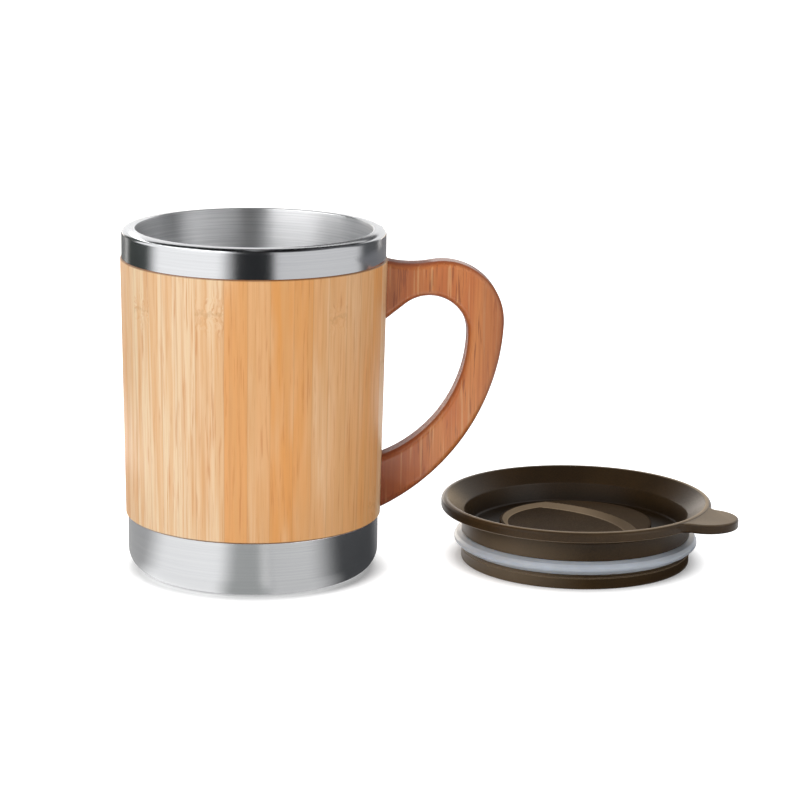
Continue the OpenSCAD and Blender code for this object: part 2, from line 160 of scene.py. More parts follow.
def brushed_steel(name, light, dark, roughness, streak, pitch, length, depth):
    """Stainless steel brushed round the axis: fine rings of scratches, which draw each reflection out along
    the wall. Their pitch, length and depth are in millimetres, and streak is how far they draw it"""
    material, tree = new_material(name)
    where = add(tree, "ShaderNodeTexCoord").outputs["Object"]
    flat = add(tree, "ShaderNodeVectorMath", {0: where, 1: (1, 1, 0)}, operation="MULTIPLY")
    from_axis = add(tree, "ShaderNodeVectorMath", {0: flat}, operation="LENGTH").outputs["Value"]
    height = add(tree, "ShaderNodeSeparateXYZ", {0: where}).outputs["Z"]
    across = add(tree, "ShaderNodeMath", {0: height, 1: from_axis}, operation="SUBTRACT")
    ring = add(tree, "ShaderNodeMath", {0: across, 1: 1 / (pitch * mm)}, operation="MULTIPLY")
    ring_place = add(tree, "ShaderNodeCombineXYZ", {2: ring})
    run = 1 / (length * mm)
    scratch_place = add(tree, "ShaderNodeVectorMath", {0: flat, 1: (run, run, 0), 2: ring_place},
        operation="MULTIPLY_ADD")
    scratches = add(tree, "ShaderNodeTexNoise", {
        "Vector": scratch_place, "Scale": 1.0, "Detail": 3.0, "Roughness": 0.6})
    shade = add(tree, "ShaderNodeMapRange", {"Value": scratches, "From Min": 0.35, "From Max": 0.65})
    colour = add(tree, "ShaderNodeMix", {0: shade, 6: to_linear(dark), 7: to_linear(light)},
        data_type="RGBA").outputs[2]
    rough = add(tree, "ShaderNodeMapRange", {
        "Value": scratches, "From Min": 0.3, "From Max": 0.7,
        "To Min": roughness * 1.08, "To Max": roughness * 0.94})
    bump = add(tree, "ShaderNodeBump", {"Height": scratches, "Strength": 0.5, "Distance": depth * mm})
    around = add(tree, "ShaderNodeTangent", direction_type="RADIAL", axis="Z")
    surface = add(tree, "ShaderNodeBsdfPrincipled", {
        "Base Color": colour, "Metallic": 1.0, "Roughness": rough, "Normal": bump,
        "Tangent": around, "Anisotropic": streak, "Anisotropic Rotation": 0.25})
    add(tree, "ShaderNodeOutputMaterial", {"Surface": surface})
    return material


cup = turned("drawn_cup", rounded([
    (0, cup_floor - sheet, 0), (cup_r + sheet, cup_floor - sheet, cup_corner + sheet),
    (cup_r + sheet, mug_top, trimmed_edge), (cup_r, mug_top, cup_lip),
    (cup_r, cup_floor, cup_corner), (0, cup_floor, 0)], step=6))
# Real scratches are some hundredths of a millimetre apart. They are drawn half a millimetre apart,
# because nothing finer shows at this distance.
brushed_inside = brushed_steel("stainless_steel_brushed_inside", "#F4F4F5", "#DEDFE0",
    roughness=0.30, streak=0.86, pitch=0.5, length=34, depth=0.0009)
finished(cup, brushed_inside)
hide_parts("inner_cup")
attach(cup, "cup")

# Rim band
# A spun band of the same steel that closes the double wall: upright outside, rolled over to the cup's lip.
# It is brushed finer than the cup, so that it mirrors the room in soft upright stripes.
rim_r = 42.1
rim_foot = 102.1
rim_bevel = 0.1
rim_fall = 1.9
crown_r = 38.5
roll_steps = 36
# The power of a plain ellipse would be 1, and a lower one gives a fuller shoulder
roll_power = 2 / 2.7


def roll(inset):
    """The rolled top, set in by inset: a quarter of an ellipse from the outer face to the crown"""
    points = []
    for i in range(roll_steps + 1):
        a = radians(90 * i / roll_steps)
        r = crown_r + (rim_r - crown_r - inset) * max(0, cos(a)) ** roll_power
        points.append((r, mug_top - rim_fall + (rim_fall - inset) * sin(a) ** roll_power))
    return points


rim = turned("rolled_rim",
    [(rim_r - sheet, rim_foot), (rim_r - rim_bevel, rim_foot), (rim_r, rim_foot + rim_bevel)]
    + roll(0) + [(cup_r + sheet, mug_top), (cup_r + sheet, mug_top - sheet)] + roll(sheet)[::-1])
satin_rim = brushed_steel("stainless_steel_satin", "#D6D7D9", "#D1D2D4",
    roughness=0.18, streak=0.35, pitch=0.45, length=60, depth=0.0001)
finished(rim, satin_rim, crease=40)
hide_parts("rim_band")
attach(rim, "cup")

# Bamboo sleeve
# The outer wall: upright strips of bamboo glued into a tube, turned to a slight cone on a lathe,
# sanded and coated with a satin lacquer. It is countersunk from inside for the handle's screws.
sleeve_bore_r = 39.0
sleeve_top_r = 42.5
sleeve_foot_r = 41.1
sleeve_foot = 18.5
sleeve_bevel = 0.4
screw_heights = (91.97, 28.95)
screw_start = 39.15
screw_r = 1.5
screw_head_r = 2.9
screw_head_h = 1.5
hole_play = 0.1
# Direction of the mug's front, and its strips from left to right as seen from there:
# where each begins, in degrees from the middle, how dark it is, and the height of its knuckle
front = -91
front_begin, front_end = -72.0, 72.0
front_strips = [
    (front_begin, 0.22, None), (-62.0, 0.15, 89), (-50.5, 0.15, None), (-42.5, 0.10, None),
    (-34.3, 0.18, None), (-25.4, 0.30, 91), (-12.6, 0.88, None), (-2.6, 0.70, None),
    (6.9, 1.0, None), (17.0, 0.95, None), (25.5, 0.75, None), (33.3, 0.70, 89),
    (43.0, 0.80, None), (52.0, 0.90, None), (62.0, 0.90, 24)]
# The strips round the back are random ones of the same kind, and the last of them closes the ring
ring_end = front_begin + 360
narrowest = 8.0
knuckle_share = 0.28
chance = Random(7)
strips = list(front_strips)
begin = front_end
while begin < ring_end - narrowest:
    darkness = chance.uniform(0.1, 0.9)
    has_knuckle = chance.random() < knuckle_share
    strips.append((begin, darkness, chance.uniform(26, 94) if has_knuckle else None))
    begin += chance.uniform(8.6, 12.4)
strip_edges = [strip[0] for strip in strips] + [ring_end]
columns = 8
sleeve_turns = []
for start, end in zip(strip_edges, strip_edges[1:]):
    sleeve_turns += [radians(front + start + (end - start) * i / columns) for i in range(columns)]


def carved(piece, tool, operation="DIFFERENCE"):
    """Cuts a closed mesh with another, or joins them, and drops the tool"""
    step = piece.modifiers.new("carve", "BOOLEAN")
    step.object, step.operation, step.solver = tool, operation, "EXACT"
    made = bpy.data.meshes.new_from_object(piece.evaluated_get(bpy.context.evaluated_depsgraph_get()))
    piece.modifiers.clear()
    piece.data = made
    bpy.data.objects.remove(tool)


def bored(line, heights, sides=48):
    """A round tool along +X at each of the heights: line is (distance along X, radius)"""
    mesh = bmesh.new()
    around = [2 * pi * i / sides for i in range(sides)]
    for z in heights:
        rings = [[point_at(mesh, x, r * cos(t), z + r * sin(t)) for t in around] for x, r in line]
        skinned(mesh, rings, capped=True)
    return placed("bore", mesh)


# The wall is cut into rows too, so that each strip's faces stay short
wall_rows = 24
wall_low = sleeve_foot + sleeve_bevel
wall_h = rim_foot - sleeve_foot - 2 * sleeve_bevel
taper = sleeve_top_r - sleeve_foot_r
outer_wall = [(sleeve_foot_r + taper * i / wall_rows, wall_low + wall_h * i / wall_rows)
              for i in range(wall_rows + 1)]
sleeve = turned("turned_sleeve",
    [(sleeve_bore_r, sleeve_foot), (sleeve_foot_r - sleeve_bevel, sleeve_foot)]
    + outer_wall + [(sleeve_top_r - sleeve_bevel, rim_foot), (sleeve_bore_r, rim_foot)], sleeve_turns)
carved(sleeve, bored([
    (sleeve_bore_r - 2, screw_head_r + hole_play), (screw_start, screw_head_r + hole_play),
    (screw_start + screw_head_h, screw_r + hole_play), (sleeve_top_r + 2, screw_r + hole_play)],
    screw_heights))


def strip_turn(x, y):
    """Direction of a place, in degrees from the mug's front"""
    return (degrees(atan2(y, x)) - front - front_begin) % 360 + front_begin


def marked(piece, name, mark, axis=(0, 0)):
    """Gives each point of a piece a number for its finish, from its place in millimetres off the axis"""
    marks = piece.data.attributes.new(name, "FLOAT", "POINT")
    for point in piece.data.vertices:
        x, y, z = point.co.x / mm - axis[0], point.co.y / mm - axis[1], point.co.z / mm
        marks.data[point.index].value = mark(x, y, z)


def to_glue_line(x, y, z):
    """Distance in millimetres to the nearest glue line between two strips"""
    return min(abs(radians(strip_turn(x, y) - edge)) for edge in strip_edges) * sleeve_foot_r


marked(sleeve, "strip_glue", to_glue_line)
# Each face keeps the darkness, the number and the knuckle of its strip. A strip that has no knuckle has it
# far below the mug. The golden share gives strips beside each other numbers that lie far apart.
golden_share = 0.618
no_knuckle = -100
tone = sleeve.data.attributes.new("strip_tone", "FLOAT", "FACE")
seed = sleeve.data.attributes.new("strip_seed", "FLOAT", "FACE")
knuckle = sleeve.data.attributes.new("strip_knuckle", "FLOAT", "FACE")
for face in sleeve.data.polygons:
    turn = strip_turn(face.center.x, face.center.y)
    k = sum(edge <= turn for edge in strip_edges[1:-1])
    tone.data[face.index].value = strips[k][1]
    seed.data[face.index].value = (k * golden_share) % 1
    knuckle.data[face.index].value = strips[k][2] or no_knuckle


def drawn_out(tree, where, width, length, detail=2.0):
    """Noise drawn out along the bamboo's fibres, which stand upright. Width and length are in millimetres"""
    wide, tall = 1 / (width * mm), 1 / (length * mm)
    place = add(tree, "ShaderNodeVectorMath", {0: where, 1: (wide, wide, tall)}, operation="MULTIPLY")
    return add(tree, "ShaderNodeTexNoise", {
        "Vector": place, "Scale": 1.0, "Detail": detail, "Roughness": 0.55})


def tinted(tree, under, over, pattern, low, high, most=1.0):
    """Lays one colour over another where a pattern goes from low to high, up to a share of most"""
    if isinstance(under, str):
        under = to_linear(under)
    share = add(tree, "ShaderNodeMapRange", {
        "Value": pattern, "From Min": low, "From Max": high, "To Min": 0.0, "To Max": most},
        interpolation_type="SMOOTHSTEP")
    return add(tree, "ShaderNodeMix", {0: share, 6: under, 7: to_linear(over)}, data_type="RGBA").outputs[2]


def uneven_gloss(tree, pattern, in_lows, in_highs):
    """Roughness that goes with a pattern of noise, from its lows to its highs"""
    return add(tree, "ShaderNodeMapRange", {
        "Value": pattern, "From Min": 0.3, "From Max": 0.7, "To Min": in_lows, "To Max": in_highs},
        interpolation_type="SMOOTHSTEP")


# Natural bamboo under satin lacquer: pale honey strips of slightly different depth, with fine upright
# fibres. Fibre bundles are 0.3 to 0.5 mm wide and run for some centimetres. They are drawn a little wider,
# because nothing finer shows.
bamboo, tree = new_material("bamboo_natural_satin_lacquer")
where = add(tree, "ShaderNodeTexCoord").outputs["Object"]
strip_seed, strip_tone, strip_knuckle, strip_glue = [
    add(tree, "ShaderNodeAttribute", attribute_name=name).outputs["Fac"]
    for name in ("strip_seed", "strip_tone", "strip_knuckle", "strip_glue")]
shift = add(tree, "ShaderNodeVectorMath", {0: (0.9, 0.5, 1.7), "Scale": strip_seed}, operation="SCALE")
in_strip = add(tree, "ShaderNodeVectorMath", {0: where, 1: shift}, operation="ADD")
# A knuckle crosses its strip in a ragged line, and pushes the fibres aside within some millimetres
knuckle_ragged = 6.0
knuckle_push = 4.0
height = add(tree, "ShaderNodeSeparateXYZ", {0: where}).outputs["Z"]
height_mm = add(tree, "ShaderNodeMath", {0: height, 1: 1 / mm}, operation="MULTIPLY")
above = add(tree, "ShaderNodeMath", {0: height_mm, 1: strip_knuckle}, operation="SUBTRACT")
ragged = add(tree, "ShaderNodeTexNoise", {"Vector": in_strip, "Scale": 420.0, "Detail": 2.0})
off_line = add(tree, "ShaderNodeMath", {0: ragged, 1: knuckle_ragged, 2: above}, operation="MULTIPLY_ADD")
centred = add(tree, "ShaderNodeMath", {0: off_line, 1: knuckle_ragged / 2}, operation="SUBTRACT")
from_knuckle = add(tree, "ShaderNodeMath", {0: centred}, operation="ABSOLUTE")
near_knuckle = add(tree, "ShaderNodeMapRange", {"Value": from_knuckle, "From Min": 7.0, "From Max": 1.0},
    interpolation_type="SMOOTHSTEP")
swirl = add(tree, "ShaderNodeTexNoise", {"Vector": in_strip, "Scale": 330.0, "Detail": 1.0})
swirl_out = add(tree, "ShaderNodeVectorMath", {0: swirl.outputs["Color"], 1: (0.5, 0.5, 0.5)},
    operation="SUBTRACT")
pushed = add(tree, "ShaderNodeMath", {0: near_knuckle, 1: knuckle_push * mm}, operation="MULTIPLY")
aside = add(tree, "ShaderNodeVectorMath", {0: swirl_out, "Scale": pushed}, operation="SCALE")
fibre_place = add(tree, "ShaderNodeVectorMath", {0: in_strip, 1: aside}, operation="ADD")
cloud = drawn_out(tree, in_strip, width=7, length=60)
patches = drawn_out(tree, in_strip, width=3.5, length=80, detail=1.0)
fine = drawn_out(tree, fibre_place, width=0.55, length=30)
bundles = drawn_out(tree, fibre_place, width=0.8, length=22, detail=3.0)
veins = drawn_out(tree, fibre_place, width=1.6, length=75, detail=1.0)
plain = add(tree, "ShaderNodeMix", {0: strip_tone, 6: to_linear("#EFD7B3"), 7: to_linear("#E5A059")},
    data_type="RGBA").outputs[2]
clouded = tinted(tree, plain, "#F0D8B4", cloud, 0.42, 0.68, 0.34)
patched = tinted(tree, clouded, "#DDA468", patches, 0.46, 0.66, 0.5)
fine_lines = tinted(tree, patched, "#DC9A58", fine, 0.45, 0.68, 0.34)
streaked = tinted(tree, fine_lines, "#CB8248", bundles, 0.55, 0.70, 0.55)
veined = tinted(tree, streaked, "#CF9058", veins, 0.54, 0.68, 0.28)
glued = tinted(tree, veined, "#B5763F", strip_glue, 0.30, 0.05, 0.2)
knuckled = tinted(tree, glued, "#B98450", from_knuckle, 0.9, 0.1, 0.22)
# The bevelled ends lie in the joints with the steel, and look dark there
half_height = (rim_foot - sleeve_foot) / 2
middle_z = (sleeve_foot + rim_foot) / 2
off_middle = add(tree, "ShaderNodeMath", {0: height_mm, 1: middle_z}, operation="SUBTRACT")
from_middle = add(tree, "ShaderNodeMath", {0: off_middle}, operation="ABSOLUTE")
jointed = tinted(tree, knuckled, "#6B3D1C", from_middle, half_height - 0.55, half_height - 0.15, 0.8)
relief = add(tree, "ShaderNodeBump", {"Height": bundles, "Strength": 0.25, "Distance": 0.03 * mm})
surface = add(tree, "ShaderNodeBsdfPrincipled", {
    "Base Color": jointed, "Roughness": uneven_gloss(tree, fine, 0.40, 0.52), "Normal": relief,
    "Specular IOR Level": 0.25, "Coat Weight": 0.2, "Coat Roughness": 0.28, "Coat IOR": 1.5})
add(tree, "ShaderNodeOutputMaterial", {"Surface": surface})
finished(sleeve, bamboo)
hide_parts("bamboo_sleeve")
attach(sleeve, "cup")

# Base
# A pressed steel dish that closes the double wall from below. Its shoulder lies under the sleeve, its
# collar stands inside it, and a ring pressed into the bottom keeps the bottom flat.
base_r = 40.4
base_corner = 7.4
collar_r = 38.4
collar_top = 23.5
collar_edge = 0.15
shoulder_edge = 0.3
fold_edge = 0.1
bead_r = 27.0
bead_half = 1.0
bead_flat_half = 0.4
bead_depth = 0.3
bead_edge = 0.3
base = turned("pressed_base", rounded([
    (0, 0, 0), (bead_r - bead_half, 0, bead_edge), (bead_r - bead_flat_half, bead_depth, bead_edge),
    (bead_r + bead_flat_half, bead_depth, bead_edge), (bead_r + bead_half, 0, bead_edge),
    (base_r, 0, base_corner), (base_r, sleeve_foot, shoulder_edge),
    (collar_r + sheet, sleeve_foot, fold_edge), (collar_r + sheet, collar_top, collar_edge),
    (collar_r, collar_top, collar_edge), (collar_r, sleeve_foot - sheet, fold_edge),
    (base_r - sheet, sleeve_foot - sheet, fold_edge), (base_r - sheet, sheet, base_corner - sheet),
    (0, sheet, 0)], step=7))
brushed_outside = brushed_steel("stainless_steel_brushed_outside", "#D6D7D8", "#D0D1D3",
    roughness=0.24, streak=0.45, pitch=0.45, length=60, depth=0.00008)
finished(base, brushed_outside)
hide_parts("base_cap")
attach(base, "cup")

# Handle
# An ear-shaped board sawn from carbonised bamboo, its edges rounded with a cutter and its feet hollowed
# to the sleeve's cone, then glued and screwed on from inside the sleeve.
board_t = 9.5
board_edge = 2.3
reach, reach_z = 80.2, 83.5
gap_reach, gap_z = 68.4, 77.6
foot_low, foot_top = 20.3, 37.6
corner_r, dip_r, arch_r = 19.9, 33.9, 12.4
corner_turn, dip_turn, arch_turn = 2.4, 100.5, 128.5
foot_x = 36.5
glue_line = 0.05
screw_l = 11.5
screw_play = 0.02
# Both long curves of the grip stand upright where they reach furthest, and end at the lower foot's ends
outer_out, inner_out = reach - sleeve_foot_r, gap_reach - sleeve_foot_r
grip_outer_r = (outer_out ** 2 + (reach_z - foot_low) ** 2) / (2 * outer_out)
grip_inner_r = (inner_out ** 2 + (gap_z - foot_top) ** 2) / (2 * inner_out)


def arc(centre, r, start, end, steps, skip=0):
    """Points along an arc, angles in degrees, without the first one when skip is 1"""
    turns = [radians(start + (end - start) * i / steps) for i in range(skip, steps + 1)]
    return [(centre[0] + r * cos(a), centre[1] + r * sin(a)) for a in turns]


def low_turn(centre, r, x):
    """Angle of a circle's lower side at x"""
    return -degrees(atan2(sqrt(r * r - (x - centre[0]) ** 2), x - centre[0]))


outer_c = (reach - grip_outer_r, reach_z)
corner_c = arc(outer_c, grip_outer_r - corner_r, -corner_turn, 0, 1)[0]
dip_c = arc(corner_c, corner_r + dip_r, dip_turn, 0, 1)[0]
inner_c = (gap_reach - grip_inner_r, gap_z)
arch_c = (gap_reach - arch_r, gap_z)


def board_outline(inset):
    """The board's outline as (x, z), set in by inset: over the top, down the outside, back up the inside"""
    outer_r, inner_r = grip_outer_r - inset, grip_inner_r + inset
    end = arc(arch_c, arch_r + inset, arch_turn, 0, 1)[0]
    fall = (end[0] - foot_x) / tan(radians(arch_turn))
    return (arc(dip_c, dip_r + inset, low_turn(dip_c, dip_r + inset, foot_x), dip_turn - 180, 24)
        + arc(corner_c, corner_r - inset, dip_turn, -corner_turn, 48, 1)
        + arc(outer_c, outer_r, -corner_turn, low_turn(outer_c, outer_r, foot_x), 72, 1)
        + arc(inner_c, inner_r, low_turn(inner_c, inner_r, foot_x), 0, 64)
        + arc(arch_c, arch_r + inset, 0, arch_turn, 40, 1)
        + [(foot_x, end[1] + fall)])


def rounded_board(name, outline, low, high, edge, place, steps=9):
    """A board from low to high with rounded edges. Outline gives its points at an inset, and place turns
    a point of the outline and a height into x, y and z"""
    turns = [radians(90 * i / steps) for i in range(steps + 1)]
    below = [(edge * (1 - sin(a)), low + edge * (1 - cos(a))) for a in turns]
    above = [(inset, low + high - h) for inset, h in below[::-1]]
    mesh = bmesh.new()
    rings = [[point_at(mesh, *place(a, b, h)) for a, b in outline(inset)] for inset, h in below + above]
    skinned(mesh, rings, capped=True)
    return placed(name, mesh)


handle = rounded_board("ear_handle", board_outline, -board_t / 2, board_t / 2, board_edge,
    lambda a, b, h: (a, h, b))
# The sleeve's cone, drawn on as far above the rim band's foot as the sleeve's foot lies above the table
flare = (sleeve_top_r - sleeve_foot_r) / (rim_foot - sleeve_foot)
cone_top = rim_foot + sleeve_foot
carved(handle, turned("cone", [
    (0, 0), (sleeve_foot_r - flare * sleeve_foot + glue_line, 0),
    (sleeve_top_r + flare * sleeve_foot + glue_line, cone_top), (0, cone_top)], turns=576))
carved(handle, bored([
    (screw_start, screw_r + screw_play), (screw_start + screw_l + screw_play, screw_r + screw_play)],
    screw_heights))

# Carbonised bamboo under gloss lacquer: steaming turns it chestnut. The fibres stand upright in the
# board, so its flat faces show streaks, and its rounded edges cut them across and look darker.
carbonised, tree = new_material("bamboo_carbonised_gloss_lacquer")
where = add(tree, "ShaderNodeTexCoord").outputs["Object"]
apart = add(tree, "ShaderNodeSeparateXYZ", {0: where})
cloud = drawn_out(tree, where, width=9, length=45)
fine = drawn_out(tree, where, width=0.5, length=24)
bundles = drawn_out(tree, where, width=0.75, length=14, detail=3.0)
pale = drawn_out(tree, where, width=1.1, length=34, detail=1.0)
plain = tinted(tree, "#C4703B", "#D3884D", cloud, 0.38, 0.66)
fine_lines = tinted(tree, plain, "#AE6432", fine, 0.45, 0.7, 0.4)
streaked = tinted(tree, fine_lines, "#8A4A28", bundles, 0.56, 0.70, 0.7)
pale_lines = tinted(tree, streaked, "#DCA873", pale, 0.60, 0.72, 0.5)
# The cut edges soak up more lacquer. The board is also darker towards its feet, most of all the lower one,
# and at the far bend.
side = add(tree, "ShaderNodeMath", {0: apart.outputs["Y"]}, operation="ABSOLUTE")
edged = tinted(tree, pale_lines, "#8A4327", side, (board_t / 2 - 0.01) * mm, 3.6 * mm, 0.72)
flat = add(tree, "ShaderNodeVectorMath", {0: where, 1: (1, 1, 0)}, operation="MULTIPLY")
from_axis = add(tree, "ShaderNodeVectorMath", {0: flat}, operation="LENGTH").outputs["Value"]
ragged = add(tree, "ShaderNodeMath", {0: pale, 1: 9 * mm, 2: from_axis}, operation="MULTIPLY_ADD")
far_bend_darker = tinted(tree, edged, "#9E5530", ragged, 72 * mm, 84 * mm, 0.6)
lower = add(tree, "ShaderNodeMath", {0: apart.outputs["Z"], 1: 0.12, 2: ragged}, operation="MULTIPLY_ADD")
darker_to_feet = tinted(tree, far_bend_darker, "#743622", lower, 74 * mm, 46 * mm, 0.75)
relief = add(tree, "ShaderNodeBump", {"Height": bundles, "Strength": 0.3, "Distance": 0.03 * mm})
surface = add(tree, "ShaderNodeBsdfPrincipled", {
    "Base Color": darker_to_feet, "Roughness": uneven_gloss(tree, fine, 0.36, 0.48), "Normal": relief,
    "Specular IOR Level": 0.2, "Coat Weight": 0.7, "Coat Roughness": 0.15, "Coat IOR": 1.5})
add(tree, "ShaderNodeOutputMaterial", {"Surface": surface})
finished(handle, carbonised)
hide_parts("handle")
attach(handle, "cup")

# Handle screws
# Two countersunk wood screws, driven from inside the sleeve into the handle's feet before the cup goes in.
# Rolled steel wire with a coarse thread and a cross slot.
thread_pitch = 1.3
thread_from = 3.4
thread_root_r = 1.1
thread_run_in = 0.8
thread_sharpness = 3.2
point_l = 2.4
point_blunt = 0.02
slot_w, slot_l, slot_depth = 0.7, 3.6, 0.8


def screw_radius(x, turn):
    """Radius of the screw at a distance along it, in millimetres: head, shank, thread and point"""
    if x < screw_head_h:
        return screw_head_r + (screw_r - screw_head_r) * x / screw_head_h
    if x < thread_from:
        return screw_r
    wave = abs(((x / thread_pitch - turn / (2 * pi)) % 1) * 2 - 1)
    grown = min(1.0, (x - thread_from) / thread_run_in)
    crest = max(0.0, 1 - (1 - wave) * thread_sharpness)
    point = min(1.0, (screw_l - x) / point_l)
    return point * (screw_r - (screw_r - thread_root_r) * grown * (1 - crest))


mesh = bmesh.new()
sides, rows = 40, 150
around = [2 * pi * i / sides for i in range(sides)]
for z in screw_heights:
    rings = []
    for k in range(rows + 1):
        x = (screw_l - point_blunt) * k / rows
        spots = [(screw_radius(x, t), t) for t in around]
        rings.append([point_at(mesh, screw_start + x, r * cos(t), z + r * sin(t)) for r, t in spots])
    skinned(mesh, rings, capped=True)
screws = placed("wood_screws", mesh)
for w, h in ((slot_w / 2, slot_l / 2), (slot_l / 2, slot_w / 2)):
    mesh = bmesh.new()
    for z in screw_heights:
        rings = [[point_at(mesh, screw_start + x, y, z + u) for y, u in ((-w, -h), (-w, h), (w, h), (w, -h))]
                 for x in (-1, slot_depth)]
        skinned(mesh, rings, capped=True)
    carved(screws, placed("cross_slot", mesh))
# Zinc-plated steel: grey, with a faint mottle where the plating is thicker
plated, tree = new_material("steel_zinc_plated")
where = add(tree, "ShaderNodeTexCoord").outputs["Object"]
mottle = add(tree, "ShaderNodeTexNoise", {"Vector": where, "Scale": 900.0, "Detail": 3.0})
surface = add(tree, "ShaderNodeBsdfPrincipled", {
    "Base Color": tinted(tree, "#9C9D9B", "#B9BAB6", mottle, 0.35, 0.65),
    "Metallic": 1.0, "Roughness": uneven_gloss(tree, mottle, 0.28, 0.42)})
add(tree, "ShaderNodeOutputMaterial", {"Surface": surface})
finished(screws, plated)
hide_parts("handle_screws")
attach(screws, "cup")

# Lid
# One injection moulding in dark brown ABS: rolled rim, funnel and dish, the plug's wall with the seal's
# groove, and a finger tab on the rim. It lies beside the mug, on its plug.
lid_axis = (106.4, 7.2)
lid_sides = 360
lid_r = 44.45
plug_r = 37.55
plug_top = 15.1
groove_r = 36.0
groove_low, groove_top = 4.9, 9.3
skirt_r = 34.4
shelf_in_r = plug_r + 2.1
shelf_z = 17.2
funnel_foot_r, funnel_foot_z = 36.75, 15.95
dish_r = 35.4
dish_z = 9.8
dish_low_z = 8.0
dish_rounding = 0.9
stud_hole_r = 4.06
crest_r = 1.39
crest_x = lid_r - crest_r
crest_z = 19.15
# The funnel's slope leaves the rolled crest at this angle, and both meet the outer face's line at meet_z
slope_turn = radians(129)
crest_in = lid_r - crest_x - crest_r * cos(slope_turn)
meet_z = crest_z + crest_r * sin(slope_turn) - crest_in * cos(slope_turn) / sin(slope_turn)
lid = turned("lid_moulding", rounded([
    (skirt_r, groove_low, 0.2), (groove_r, groove_low, 0.2), (groove_r, groove_top, 0.2),
    (plug_r, groove_top, 0.25), (plug_r, plug_top, 0.6), (shelf_in_r, shelf_z, 0.4), (lid_r, shelf_z, 0.5),
    (lid_r, meet_z, crest_r), (funnel_foot_r, funnel_foot_z, dish_rounding), (dish_r, dish_z, dish_rounding),
    (stud_hole_r, dish_z, 0.15), (stud_hole_r, dish_low_z, 0.15), (skirt_r, dish_low_z, 0.4)], step=8),
    turns=lid_sides, axis=lid_axis)

tab_r = 10.5
tab_out = 45.99
tab_low, tab_top = 17.2, 20.3
tab_edge = 0.7
tab_fillet = 4.0
tab_root = 0.1
tab_turn = radians(-32)


def tab_outline(inset):
    """Plan of the tab, set in by inset: a round end, and a fillet on each side where it leaves the rim"""
    # A fillet's centre lies this far from the lid's axis and from the tab's middle, and so far out and off
    from_rim_c, from_tab_c = lid_r - tab_root + tab_fillet, tab_r + tab_fillet
    out = (from_rim_c * from_rim_c - from_tab_c * from_tab_c + tab_out ** 2) / (2 * tab_out)
    off = sqrt(from_rim_c * from_rim_c - out * out)
    root, end = degrees(atan2(off, out)), degrees(atan2(off, out - tab_out))
    return (arc((out, -off), tab_fillet + inset, 180 - root, 180 - end, 14)
        + arc((tab_out, 0), tab_r - inset, -end, end, 72, 1)
        + arc((out, off), tab_fillet + inset, end - 180, root - 180, 14, 1)
        + arc((0, 0), crest_x, root - 1, 1 - root, 14))


def from_lid(a, b, h, turn=tab_turn):
    """A point of the lid, turned about the lid's axis"""
    return lid_axis[0] + a * cos(turn) - b * sin(turn), lid_axis[1] + a * sin(turn) + b * cos(turn), h


carved(lid, rounded_board("tab", tab_outline, tab_low, tab_top, tab_edge, from_lid, 6), "UNION")

# The drink opening is cut through the dish's floor, and the closing disc has a slot like it elsewhere
port_out = 18.0
port_w = 6.0
port_half = 15
port_turn = radians(-154)


def port_outline(inset):
    """Plan of the drink opening: an arc-shaped slot with round ends"""
    half_w = port_w / 2 - inset
    end, start = [arc((0, 0), port_out, side * port_half, 0, 1)[0] for side in (1, -1)]
    return (arc((0, 0), port_out + half_w, -port_half, port_half, 24)
        + arc(end, half_w, port_half, port_half + 180, 20, 1)[:-1]
        + arc((0, 0), port_out - half_w, port_half, -port_half, 24)
        + arc(start, half_w, 180 - port_half, 360 - port_half, 20, 1)[:-1])


def slot_tool(low, high, turn):
    """The drink opening as a tool, from low to high"""
    return rounded_board("slot", port_outline, low, high, 0.01, lambda a, b, h: from_lid(a, b, h, turn), 1)


carved(lid, slot_tool(dish_low_z - 2, dish_z + 2, port_turn))


def plug_painted_sheen(x, r):
    """Painted sheen on the plug's wall, on the side towards -X"""
    return min(0.26, max(0, -0.4 * x / r))


def lid_painted_highlight(x, y, z):
    """Painted highlight and sheen that make the lid paler: the plug's wall, the crest, the rim's lower edge
    and the tab
    """
    r = hypot(x, y)
    on_plug = plug_r - 0.3 < r < plug_r + 0.5 and z < shelf_z - 1
    on_crest = z > crest_z + crest_r * 0.90 and r > crest_x - 0.7
    on_lower_edge = lid_r - 0.45 < r < lid_r + 0.01 and z < shelf_z + 0.3
    on_tab = z > tab_top - 0.3 and r > lid_r + 0.2
    if on_plug:
        return plug_painted_sheen(x, r)
    if on_crest:
        return 0.2 + 0.4 * min(1, max(0, 0.3 + 0.9 * max(x, -y) / r))
    return 0.45 if on_lower_edge else 0.22 if on_tab else 0.0


def dish_painted_shade(x, y, z):
    """1 in the dish, which gets a painted shade and stays dark, and 0 elsewhere"""
    shade_r, shade_top = 36.5, 15.6
    return 1.0 if hypot(x, y) < shade_r and dish_z - 0.1 < z < shade_top else 0.0


# The lid's painted highlight: a paler plug wall, crest, lower edge and tab
marked(lid, "painted_highlight", lid_painted_highlight, lid_axis)
# The dish is marked for its painted shade
marked(lid, "painted_dish_shade", dish_painted_shade, lid_axis)


